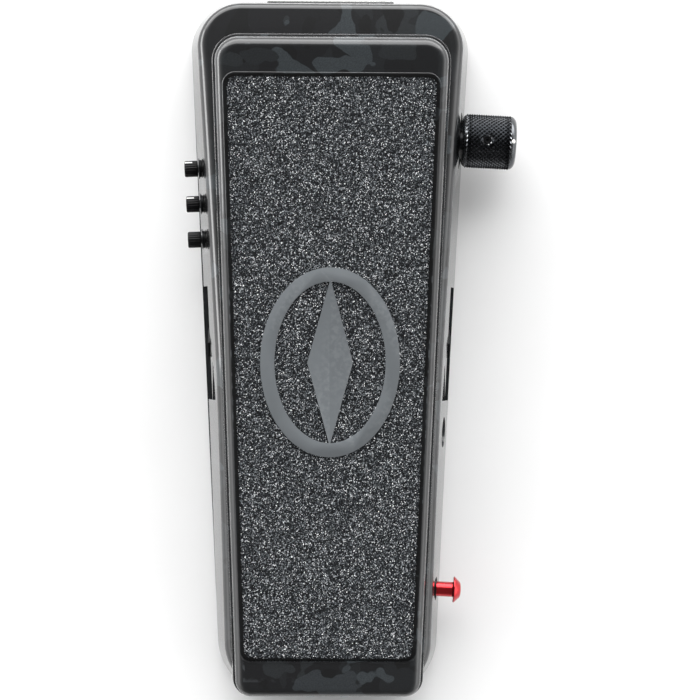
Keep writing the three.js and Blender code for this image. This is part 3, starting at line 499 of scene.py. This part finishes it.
def camouflage_paint():
    surface = Surface("camouflage_paint", coat=1.0, specular=0.15)
    bend = surface.noise(11, detail=3)
    layers = [
        # feature size, stretch, offset, threshold, tone
        (16, (1, 0.6, 1), (0.3, 0.1, 0), 0.53, (27, 29, 31)),
        (13, (0.6, 1, 1), (0.7, 0.4, 0.2), 0.57, (35, 38, 40)),
        (12, (1, 0.6, 1), (0.15, 0.9, 0.5), 0.585, (15, 16, 17)),
        (12, (0.65, 1, 1), (0.55, 0.25, 0.8), 0.61, (50, 55, 58)),
    ]
    softness = 0.003
    tone = srgb(20, 21, 23)
    for size, stretch, offset, threshold, colour in layers:
        pattern = surface.noise(size, detail=1.0, roughness=0.4, distortion=0.6,
                                vector=surface.mapped(stretch, offset))
        pattern = surface.math("MULTIPLY", pattern, 0.8)
        mixed = surface.math("ADD", pattern, surface.math("MULTIPLY", bend, 0.2))
        edge = surface.spread(mixed, threshold - softness, threshold + softness, 0.0, 1.0)
        tone = surface.mix(edge, tone, srgb(*colour))
    patches = [
        # centre and half size on the toe and heel borders, in millimetres, and tone
        ((13, 104), (11, 4.5), (34, 37, 39)),
        ((-1, 98.7), (14, 4), (52, 57, 60)),
        ((-31, 101), (9, 3), (30, 33, 35)),
        ((-6, -118), (17, 5.5), (46, 50, 53)),
        ((8, -117), (9, 4), (54, 59, 62)),
        ((-24, -113), (7, 4), (36, 39, 41)),
    ]
    split = surface.nodes.new("ShaderNodeSeparateXYZ")
    surface.links.new(surface.coordinates, split.inputs[0])
    wave = surface.math("MULTIPLY", surface.noise(7, detail=1, vector=surface.mapped((1, 1, 0.3))), 3.2)
    for centre, half, colour in patches:
        distance = wave
        for axis in (0, 1):
            offset = surface.math("SUBTRACT", split.outputs[axis], centre[axis] * MM)
            share = surface.math("DIVIDE", offset, half[axis] * MM)
            distance = surface.math("ADD", distance, surface.math("MULTIPLY", share, share))
        tone = surface.mix(surface.spread(distance, 2.2, 2.14, 0.0, 1.0), tone, srgb(*colour))
    speckle = surface.noise(0.35, detail=2)
    tone = surface.mix(surface.spread(speckle, 0.35, 0.65, 0.0, 0.4), tone, srgb(10, 10, 11))
    worn = surface.math("MULTIPLY", surface.edges(0.56, 0.66),
                        surface.spread(surface.noise(3, detail=5), 0.5, 0.62, 0.0, 0.4))
    tone = surface.mix(worn, tone, srgb(90, 94, 97))
    surface.set("Base Color", tone)
    surface.set("Roughness", surface.spread(surface.noise(0.6, detail=3), 0.3, 0.7, 0.34, 0.46))
    surface.add_bump(surface.noise(0.5, detail=3), 0.006)
    surface.add_bump(surface.noise(6, detail=1), 0.02)
    surface.links.new(surface.bump, surface.shader.inputs["Coat Normal"])
    return surface.material


def grit_sheet():
    surface = Surface("grit_sheet", specular=0.15)
    # Random grain tone from near black to light grey; the near-white cells at the top of the ramp are painted
    # glints.
    tone = surface.ramp(surface.cells(0.27), [
        (0.12, srgb(7, 8, 9)),
        (0.36, srgb(13, 14, 16)),
        (0.55, srgb(25, 27, 30)),
        (0.7, srgb(58, 62, 66)),
        (0.82, srgb(142, 147, 151)),
        (0.93, srgb(252, 253, 254)),
    ])
    clouds = surface.noise(5, detail=3)
    tone = surface.mix(surface.spread(clouds, 0.3, 0.7, 0.0, 0.06), tone, srgb(24, 26, 28))
    surface.set("Base Color", tone)
    surface.set("Roughness", surface.spread(surface.cells(0.33), 0.0, 1.0, 0.5, 0.9))
    surface.add_bump(surface.cells(0.3, "Distance"), 0.06)
    return surface.material


def knurled_anodising():
    """Black anodising, dark between the knurl points; the points are painted light grey, partly rubbed wear and
    partly a painted highlight.
    """
    surface = Surface("knurled_anodising", metallic=1.0)
    fine = surface.noise(0.5, detail=3)
    tone = surface.mix(fine, srgb(18, 18, 19), srgb(34, 35, 37))
    # The knurl points are painted light grey: partly rubbed wear, partly a painted highlight.
    tip_wear_and_highlight = surface.math("MULTIPLY", surface.edges(0.51, 0.58), surface.spread(fine, 0.3, 0.7, 0.75, 1.0))
    tone = surface.mix(tip_wear_and_highlight, tone, srgb(172, 175, 179))
    surface.set("Base Color", tone)
    surface.set("Roughness", surface.spread(fine, 0.3, 0.7, 0.2, 0.3))
    surface.add_bump(fine, 0.006)
    return surface.material


MATERIALS = {
    "housing_paint": camouflage_paint(),
    "grit_sheet": grit_sheet(),
    "emblem_film": plain_finish("emblem_film", (98, 102, 105), (102, 106, 109), (0.55, 0.7), 0.3, 0.012,
                                wear=(122, 126, 129), wear_share=0.4, specular=0.2),
    "black_steel": plain_finish("black_steel", (22, 23, 25), (34, 35, 37), (0.3, 0.5), 0.4, 0.01,
                                wear=(120, 122, 125), metallic=0.7),
    "steel": plain_finish("steel", (176, 178, 181), (200, 202, 204), (0.2, 0.38), 0.4, 0.006,
                          wear=(225, 226, 228), metallic=1.0),
    "brass": plain_finish("brass", (176, 142, 84), (203, 170, 108), (0.22, 0.4), 0.4, 0.006,
                          wear=(226, 204, 150), metallic=1.0),
    "nylon": plain_finish("nylon", (214, 209, 196), (230, 226, 215), (0.45, 0.6), 0.5, 0.02,
                          wear=(240, 238, 230)),
    "rubber": plain_finish("rubber", (20, 20, 22), (32, 32, 34), (0.7, 0.9), 0.5, 0.05,
                           wear=(62, 62, 64), wear_share=0.6),
    "black_plastic": plain_finish("black_plastic", (6, 6, 7), (12, 12, 14), (0.28, 0.42), 0.5, 0.015,
                                  wear=(46, 47, 50), specular=0.16),
    "black_anodised": knurled_anodising(),
    "red_anodised": plain_finish("red_anodised", (176, 12, 24), (206, 22, 34), (0.14, 0.26), 0.6, 0.004,
                                 wear=(235, 110, 112), wear_share=0.4, metallic=0.85, coat=0.6),
    "lens": plain_finish("lens", (170, 178, 186), (196, 203, 210), (0.08, 0.16), 0.6, 0.004, coat=0.5),
    "board": plain_finish("board", (22, 70, 42), (32, 92, 54), (0.3, 0.5), 0.8, 0.02, wear=(150, 170, 120)),
    "battery_case": plain_finish("battery_case", (40, 41, 44), (60, 61, 64), (0.25, 0.4), 0.5, 0.01,
                                 wear=(150, 152, 154), metallic=0.4),
}
# Lighter grey metal for the range knob's round end: a painted reflection of the bright surroundings.
KNOB_END_PAINTED_REFLECTION = plain_finish("knob_end_painted_reflection", (80, 82, 84), (96, 98, 100), (0.2, 0.32), 0.4, 0.004,
                          wear=(150, 152, 155), metallic=1.0)
# Light grey for the chamfer ring round the range knob's set screw hole: a painted highlight.
SCREW_RING_PAINTED_HIGHLIGHT = plain_finish("screw_ring_painted_highlight", (196, 198, 200), (222, 223, 224), (0.3, 0.45), 0.2, 0.006,
                              metallic=0.3)
WHITE_MARK = plain_finish("white_mark", (222, 222, 220), (238, 238, 236), (0.4, 0.6), 0.3, 0.01)


def finish_piece(piece, body, slot, nodes=(), material=None):
    """Gives a piece its material (from its slot unless one is given) and its body, and hides the CAD nodes that it
    stands for.
    """
    piece.data.materials.clear()
    piece.data.materials.append(material or MATERIALS[slot])
    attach(piece, body)
    if nodes:
        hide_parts(*nodes)


def stand_for(piece, node):
    finish_piece(piece, NODE_BODY[node], NODE_SLOT[node], [node])


# ---------------------------------------------------------------- housing

kick_low, kick_high = cad_box("kick_switch_cap")
kick_axis = -Vector(JOINTS["kick_switch_press"]["axis"])
kick_tip = Vector(((kick_low + kick_high) / 2).tolist()) + kick_axis * KICK_CAP_HALF
KICK_PLACE = outward_place(kick_tip, kick_axis)  # its origin is the cap's outer face


def both_sides(side, near, far):
    return tuple(sorted((side * near, side * far)))


def make_housing():
    place = HOUSING_PLACE
    rings = [housing_base_ring(HOUSING_BASE_Z, 0.2), housing_base_ring(HOUSING_BASE_Z + 0.2, 0)]
    for angle in quarter_turn(FILLET_STEPS):
        down, inward = 1 - math.sin(angle), 1 - math.cos(angle)
        rings.append(housing_ring(lambda y: fillet_at(y) * down, lambda y: fillet_at(y) * inward))
    shell = loft("housing_shell", rings, place)
    inside = loft("tool", [
        housing_base_ring(HOUSING_BASE_Z - 1, HOUSING_WALL),
        housing_ring(lambda y: HOUSING_WALL, lambda y: HOUSING_WALL),
    ], place)
    combine(shell, inside, "DIFFERENCE")
    window_ys = (JACK_Y - JACK_WINDOW_HALF, JACK_Y + JACK_WINDOW_HALF)

    def join(tool):
        combine(shell, tool, "UNION")

    def cut(tool):
        combine(shell, tool, "DIFFERENCE")

    def side_block(side, near, far, ys, zs):
        x0, x1 = both_sides(side, near, far)
        return block((x0, ys[0], zs[0]), (x1, ys[1], zs[1]), place)

    for side in (-1, 1):
        join(side_block(side, JACK_PAD_IN_X, JACK_PAD_X, window_ys, (HOUSING_BASE_Z, JACK_PAD_TOP)))
        cut(side_block(side, JACK_PAD_X, BEYOND_X, window_ys, (0, JACK_WINDOW_TOP)))
        cut(cylinder("x", both_sides(side, 36, BEYOND_X), JACK_HOLE_RADIUS, (JACK_Y, JACK_Z), place))
        ear = tongue(PIVOT_EAR_RADIUS, -8, (PIVOT_Y, PIVOT_Z))
        join(prism(ear, both_sides(side, *PIVOT_EAR_XS), place))
        bore_xs = both_sides(side, PIVOT_EAR_XS[0] - 1, PIVOT_EAR_XS[1] + 1)
        cut(cylinder("x", bore_xs, BUSHING_BORE, (PIVOT_Y, PIVOT_Z), place))
        well_ys = (PIVOT_Y - LUG_WELL_HALF_Y, PIVOT_Y + LUG_WELL_HALF_Y)
        cut(side_block(side, *LUG_WELL_XS, well_ys, LUG_WELL_ZS))
        for y in BUMPER_YS:
            seat_zs = (roof_z(y) - 2, roof_z(y) + 0.6)
            join(cylinder("z", seat_zs, BUMPER_SEAT_RADIUS, (side * BUMPER_X, y), place))
        cut(cylinder("y", (-140, -115), LENS_HOLE_RADIUS, (side * LENS_X, LENS_Z), place))
    toe_wall = Matrix.Translation((0, 127, PANEL_Z)) @ Matrix.Rotation(math.atan(HOUSING_DRAFT), 4, "X")
    join(bevelled(block((-PANEL_HALF, -4, 0), (PANEL_HALF, 0, PANEL_HEIGHT), place @ toe_wall), 0.5, 4))
    at_range = joint_place("range_turn")
    cut(cylinder("x", (0.1, 8), RANGE_SPOT_RADIUS, (0, 0), at_range, 96))
    cut(cylinder("x", (-8, 4), RANGE_HOLE_RADIUS, (0, 0), at_range))
    for number in TRIM_NUMBERS:
        at_trim = joint_place(f"trim_turn_{number}")
        cut(cylinder("x", (0, 8), TRIM_SPOT_RADIUS, (0, 0), at_trim))
        cut(cylinder("x", (-6, 1), TRIM_HOLE_RADIUS, (0, 0), at_trim))
    cut(cylinder("x", (-14, -3), KICK_HOLE_RADIUS, (0, 0), KICK_PLACE))
    cut(cylinder("x", (36, BEYOND_X), POWER_HOLE_RADIUS, (POWER_JACK_Y, POWER_JACK_Z), place))
    seat = (0, SWITCH_Y)
    join(cylinder("z", (SWITCH_SEAT_Z - 3, SWITCH_SEAT_Z + 0.5), SWITCH_SEAT_RADIUS, seat, place, 64))
    cut(cylinder("z", (SWITCH_SEAT_Z, 60), SWITCH_SPOT_RADIUS, seat, place, 64))
    cut(cylinder("z", (20, 60), SWITCH_HOLE_RADIUS, seat, place, 48))
    cut(block(*RACK_SLOT, place))
    for x, y in BOSSES:
        join(cylinder("z", (6, roof_z(y) - 1.5), BOSS_RADIUS, (x, y), place))
        cut(cylinder("z", (0, 17), BOSS_HOLE_RADIUS, (x, y), place))
    return shade(shell, 28)


stand_for(make_housing(), "chassis")


# ---------------------------------------------------------------- treadle

def treadle_ring(z, extra):
    return level_ring(TREADLE_PLAN, z, TREADLE_DRAFT * (z - SKIRT_Z) + extra)


def make_treadle():
    place = TREADLE_PLACE
    rings = [
        treadle_ring(SKIRT_Z, 0.3), treadle_ring(SKIRT_Z + 0.3, 0), treadle_ring(LEDGE_Z - 0.2, 0),
        treadle_ring(LEDGE_Z, 0.15), treadle_ring(LEDGE_Z + 0.1, LEDGE),
    ]
    for angle in quarter_turn(FILLET_STEPS):
        drop = TREADLE_FILLET * (1 - math.sin(angle))
        rings.append(treadle_ring(TREADLE_TOP_Z - drop, LEDGE + TREADLE_FILLET * (1 - math.cos(angle))))
    cover = loft("treadle_cover", rings, place)
    combine(cover, plate(TREADLE_PLAN, (0, HOLLOW_Z), place, TREADLE_WALL), "DIFFERENCE")
    lip = loft("tool", [
        level_ring(RECESS_PLAN, TREADLE_TOP_Z - 1, -0.5),
        level_ring(RECESS_PLAN, TREADLE_TOP_Z + RECESS_LIP - 0.1, -0.5),
        level_ring(RECESS_PLAN, TREADLE_TOP_Z + RECESS_LIP, -0.4),
    ], place)
    combine(cover, lip, "UNION")
    combine(cover, plate(RECESS_PLAN, (RECESS_FLOOR_Z, TREADLE_TOP_Z + 2), place), "DIFFERENCE")
    for side in (-1, 1):
        pivot_lug = tongue(PIVOT_LUG_RADIUS, HOLLOW_Z + 1)
        combine(cover, prism(pivot_lug, both_sides(side, *PIVOT_LUG_XS), place), "UNION")
        rack_lug = tongue(RACK_LUG_RADIUS, HOLLOW_Z + 1, (RACK_ARM, 0))
        combine(cover, prism(rack_lug, both_sides(side, *RACK_LUG_XS), place), "UNION")
    for y in RIB_YS:
        low, high = (-RIB_HALF_X, y - RIB_HALF_Y, RIB_Z), (RIB_HALF_X, y + RIB_HALF_Y, HOLLOW_Z + 1)
        combine(cover, block(low, high, place), "UNION")
    combine(cover, cylinder("x", (-40, 40), ROD_HOLE_RADIUS, (0, 0), place), "DIFFERENCE")
    combine(cover, cylinder("x", (-10, 10), THIN_HOLE_RADIUS, (RACK_ARM, 0), place), "DIFFERENCE")
    combine(cover, cylinder("z", (-8, 0), THIN_HOLE_RADIUS, (SET_SCREW_X, 0), place), "DIFFERENCE")
    return shade(cover, 28)


stand_for(make_treadle(), "treadle")


def make_grip_pad():
    """The grit sheet: a fine grid over the tapered outline, each point at its grain's height."""
    outline = level_ring(RECESS_PLAN, 0, PAD_MARGIN)
    right = outline[: len(outline) // 2]
    low_y, high_y = right[0][1], right[-1][1]
    grain, roughness, jitter, rim_drop = 0.5, 0.07, 0.12, 0.25
    rows = np.linspace(low_y, high_y, int((high_y - low_y) / grain))
    columns = 140
    points = []
    for y in rows:
        half = np.interp(y, right[:, 1], right[:, 0])
        for x in np.linspace(-half, half, columns):
            points.append((x, y, PAD_TOP_Z - 0.05 + roughness * RNG.standard_normal()))
    count = len(rows)
    grid = np.array(points).reshape(count, columns, 3)
    grid[..., 2] = np.clip(grid[..., 2], PAD_TOP_Z - 0.4, PAD_TOP_Z + 0.12)
    inside = grid[1:-1, 1:-1, :2]
    inside += RNG.uniform(-jitter, jitter, inside.shape)
    grid[:, (0, -1), 2] = PAD_TOP_Z - rim_drop
    grid[(0, -1), :, 2] = PAD_TOP_Z - rim_drop
    points = grid.reshape(-1, 3)
    faces = []
    for r in range(count - 1):
        for c in range(columns - 1):
            a = r * columns + c
            faces.append((a, a + 1, a + columns + 1, a + columns))
    rim = list(range(columns)) + [r * columns + columns - 1 for r in range(1, count)]
    rim += [(count - 1) * columns + c for c in range(columns - 2, -1, -1)]
    rim += [r * columns for r in range(count - 2, 0, -1)]
    base = len(points)
    skirt = [(points[i][0], points[i][1], RECESS_FLOOR_Z + 0.3) for i in rim]
    for k, i in enumerate(rim):
        n = (k + 1) % len(rim)
        faces.append((i, base + k, base + n, rim[n]))
    faces.append(tuple(range(base, base + len(rim)))[::-1])
    return facing_out(from_faces("grit_pad", np.vstack([points, skirt]), faces, TREADLE_PLACE))


stand_for(make_grip_pad(), "grip_pad")


# ---------------------------------------------------------------- range knob

def make_range_knob(place):
    """A black knob with a diamond knurl, a plain inner chamfer and a round outer end."""
    radius, inner, outer = 9.8, 0.9, 20.2
    around, depth, tip_spacing = 72, 0.8, 1.7
    start, end = inner + 1.5, outer - 2.5
    rows = 2 * round((end - start) / tip_spacing)
    chamfer = [(radius - 1.5, inner), (radius - 0.75, inner + 0.5), (radius - 0.35, inner + 1.2)]
    end_radius, round_depth, round_width = radius - 0.3, 2.1, 3.0
    bore_radius, bore_depth, screw_x, screw_radius, ring_radius = 3.3, 14.3, 9.5, 1.55, 1.95
    points, rings = [], []

    def add_ring(level, radii):
        ring_points = []
        for k in range(around):
            angle = 2 * math.pi * k / around
            r = radii(k)
            ring_points.append(len(points))
            points.append((level, r * math.cos(angle), r * math.sin(angle)))
        rings.append(ring_points)

    for r, level in chamfer:
        add_ring(level, lambda k: r)
    for b in range(rows + 1):
        level = start + (end - start) * b / rows
        add_ring(level, lambda k: radius if (k + b) % 2 else radius - depth)
    first_knurl = len(chamfer)
    last_knurl = first_knurl + rows
    for angle in quarter_turn(8):
        level = outer - round_depth + round_depth * math.sin(angle)
        add_ring(level, lambda k: end_radius - round_width * (1 - math.cos(angle)))
    centre_in = len(points)
    points.append((inner, 0, 0))
    centre_out = len(points)
    points.append((outer, 0, 0))
    faces = []
    for r, (low, high) in enumerate(zip(rings, rings[1:])):
        for k in range(around):
            n = (k + 1) % around
            a, b, c, d = low[k], low[n], high[n], high[k]
            if first_knurl <= r < last_knurl:
                if (k + r - first_knurl) % 2 == 0:
                    faces += [(a, b, c), (a, c, d)]
                else:
                    faces += [(a, b, d), (b, c, d)]
            else:
                faces.append((a, b, c, d))
    for k in range(around):
        n = (k + 1) % around
        faces.append((centre_in, rings[0][n], rings[0][k]))
        faces.append((centre_out, rings[-1][k], rings[-1][n]))
    knob = facing_out(from_faces("range_knob_grip", points, faces, place))
    bore = cylinder("x", (inner - 1, inner + bore_depth), bore_radius, (0, 0), place)
    screw_hole = turned("tool", [
        (0, 2), (screw_radius, 2), (screw_radius, radius - 0.5), (ring_radius, radius - 0.1),
        (ring_radius, radius + 2), (0, radius + 2),
    ], place @ Matrix.Translation((screw_x, 0, 0)), 32, "z")
    finishes = [MATERIALS["black_anodised"], SCREW_RING_PAINTED_HIGHLIGHT, KNOB_END_PAINTED_REFLECTION]
    for piece in (knob, bore, screw_hole):
        for finish in finishes:
            piece.data.materials.append(finish)
    to_local = place.inverted()
    # The round outer end gets the painted reflection.
    for polygon in knob.data.polygons:
        if (to_local @ (polygon.center / MM)).x > outer - round_depth:
            polygon.material_index = finishes.index(KNOB_END_PAINTED_REFLECTION)
    # The chamfer ring round the set screw hole gets the painted highlight.
    for polygon in screw_hole.data.polygons:
        height = (to_local @ (polygon.center / MM)).z
        if radius - 0.55 < height < radius + 0.5 and abs(polygon.normal.z) > 0.2:
            polygon.material_index = finishes.index(SCREW_RING_PAINTED_HIGHLIGHT)
    combine(knob, bore, "DIFFERENCE")
    combine(knob, screw_hole, "DIFFERENCE")
    return shade(knob, 22)


range_place = joint_place("range_turn")
range_knob = make_range_knob(range_place)
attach(range_knob, "range_knob")
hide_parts("range_knob")
dot_place = range_place @ Matrix.Translation((18.9, 0, 9.2)) @ Matrix.Rotation(math.radians(22), 4, "Y")
dot = turned("range_knob_dot", [(0, -0.3), (0.75, -0.3), (0.75, 0.1), (0.65, 0.17), (0, 0.2)],
             dot_place, 24, "z")
finish_piece(dot, "range_knob", "black_anodised", material=WHITE_MARK)


# ---------------------------------------------------------------- trim knobs and kick switch

def flutes(count, depth):
    """How far a turned solid's radius changes with the angle around it."""
    return lambda angle: -depth * max(0.0, math.cos(count * angle)) ** 2


POINTER_DEGREES = {1: 48, 2: 48, 3: 140}
for number in TRIM_NUMBERS:
    at = joint_place(f"trim_turn_{number}")
    knob = turned(f"trim_knob_{number}_grip", [
        (0, 1.7), (2.6, 1.7), (2.82, 1.8), (2.9, 2.0), (2.9, 6.0), (2.8, 6.3), (2.5, 6.47), (1.2, 6.5),
        (1.05, 6.35), (0, 6.3),
    ], at, 144, wobble=flutes(18, 0.13), smooth=30)
    stem = cylinder("x", (-7.5, 1.8), 1.5, (0, 0), at, 24)
    combine(knob, stem, "UNION")
    stand_for(shade(knob, 30), f"trim_knob_{number}")
    turn = Matrix.Rotation(math.radians(POINTER_DEGREES[number]), 4, "X")
    pointer = bevelled(block((3.6, -0.3, 2.5), (6.3, 0.3, 2.97), at @ turn), 0.1)
    pointer.name = f"trim_knob_{number}_pointer"
    finish_piece(pointer, f"trim_knob_{number}", "black_plastic", material=WHITE_MARK)

cap = turned("kick_switch_button", [
    (0, -15.1), (2.7, -15.1), (2.7, -3.3), (2.9, -2.9), (4.5, -2.9), (4.72, -2.7), (4.72, -2.5),
    (4.6, -2.32), (2.95, -0.62), (2.7, -0.42), (1.9, -0.16), (0.9, -0.03), (0, 0),
], KICK_PLACE, 72, smooth=24)
stand_for(cap, "kick_switch_cap")


# ---------------------------------------------------------------- other nodes

def refined(node):
    """A copy of a CAD node with rounded edges and smooth shading, standing for that node."""
    source = frame["nodes"][node]
    mesh = source.data.copy()
    mesh.materials.clear()
    piece = make_object(f"{node}_piece", mesh)
    work = bmesh.new()
    work.from_mesh(mesh)
    bmesh.ops.remove_doubles(work, verts=work.verts, dist=1e-6)
    bmesh.ops.dissolve_limit(work, angle_limit=math.radians(1), verts=work.verts, edges=work.edges)
    work.to_mesh(mesh)
    work.free()
    stand_for(shade(bevelled(piece, 0.2, angle=32), 32), node)


DONE = {"chassis", "treadle", "grip_pad", "range_knob", "kick_switch_cap"}
DONE |= {f"trim_knob_{number}" for number in TRIM_NUMBERS}
for part in RECORD["subparts"]:
    if part["node"] not in DONE:
        refined(part["node"])


# ---------------------------------------------------------------- floor, light and camera

def make_floor():
    half, depth = 3000, 0.05
    corners = [(-half, -half, 0), (half, -half, 0), (half, half, 0), (-half, half, 0)]
    floor = from_faces("floor", corners, [(0, 1, 2, 3)], Matrix.Translation((0, 0, -depth)))
    surface = Surface("pale_floor", specular=0.2)
    tone = surface.mix(surface.noise(60, detail=2), srgb(238, 238, 238), srgb(246, 246, 246))
    surface.set("Base Color", tone)
    surface.set("Roughness", surface.spread(surface.noise(4), 0.3, 0.7, 0.7, 0.85))
    floor.data.materials.append(surface.material)


def area_light(name, place, target, size, power):
    data = bpy.data.lights.new(name, "AREA")
    data.shape = "RECTANGLE"
    data.size, data.size_y = size
    data.energy = power
    light = bpy.data.objects.new(name, data)
    bpy.context.scene.collection.objects.link(light)
    light.location = place
    light.rotation_euler = (Vector(target) - Vector(place)).to_track_quat("-Z", "Y").to_euler()
    light.visible_camera = False


def soft_studio():
    """Surroundings that are bright low down and at the toe end, and dark overhead and at the heel."""
    world = bpy.data.worlds.new("studio")
    world.use_nodes = True
    tree = world.node_tree
    split = tree.nodes.new("ShaderNodeSeparateXYZ")
    tree.links.new(tree.nodes.new("ShaderNodeTexCoord").outputs["Generated"], split.inputs[0])
    towards_toe, upward = split.outputs["Y"], split.outputs["Z"]

    def fade(limits, results):
        node = range_node(tree, towards_toe, limits, results)
        node.interpolation_type = "SMOOTHSTEP"
        return node.outputs["Result"]

    glow_top, glow_decay, overhead = 0.3, 4.9, 0.1
    height = math_node(tree, "MAXIMUM", math_node(tree, "SUBTRACT", upward, glow_top), 0.0)
    low_glow = math_node(tree, "POWER", math.exp(-glow_decay), height)
    sides = math_node(tree, "MULTIPLY", low_glow, fade((-0.85, -0.35), (0.3, 2.6)))
    toe = fade((0.42, 0.65), (0.0, 4.5))
    strength = math_node(tree, "ADD", math_node(tree, "ADD", sides, toe), overhead)
    background = tree.nodes["Background"]
    background.inputs["Color"].default_value = (1, 1, 1, 1)
    tree.links.new(strength, background.inputs["Strength"])
    bpy.context.scene.world = world


make_floor()
soft_studio()
area_light("left_panel", (-0.9, 0.27, 0.15), (0, 0.27, 0.03), (0.65, 0.27), 4.2)
bpy.context.scene.view_settings.view_transform = "Standard"

camera_data = bpy.data.cameras.new("camera")
camera_data.sensor_width = 36
camera_data.lens = 154
camera = bpy.data.objects.new("camera", camera_data)
bpy.context.scene.collection.objects.link(camera)
eye = Vector(((HOUSING_X - 13) * MM, 0, 1.1))
aim = Vector((0.00045, -0.00036, 0.0)) - eye
roll = math.radians(0.27)
right = aim.cross(Vector((-math.sin(roll), math.cos(roll), 0))).normalized()
up = right.cross(aim).normalized()
axes = Matrix((right, up, -aim.normalized())).transposed().to_4x4()
camera.matrix_world = Matrix.Translation(eye) @ axes
bpy.context.scene.camera = camera
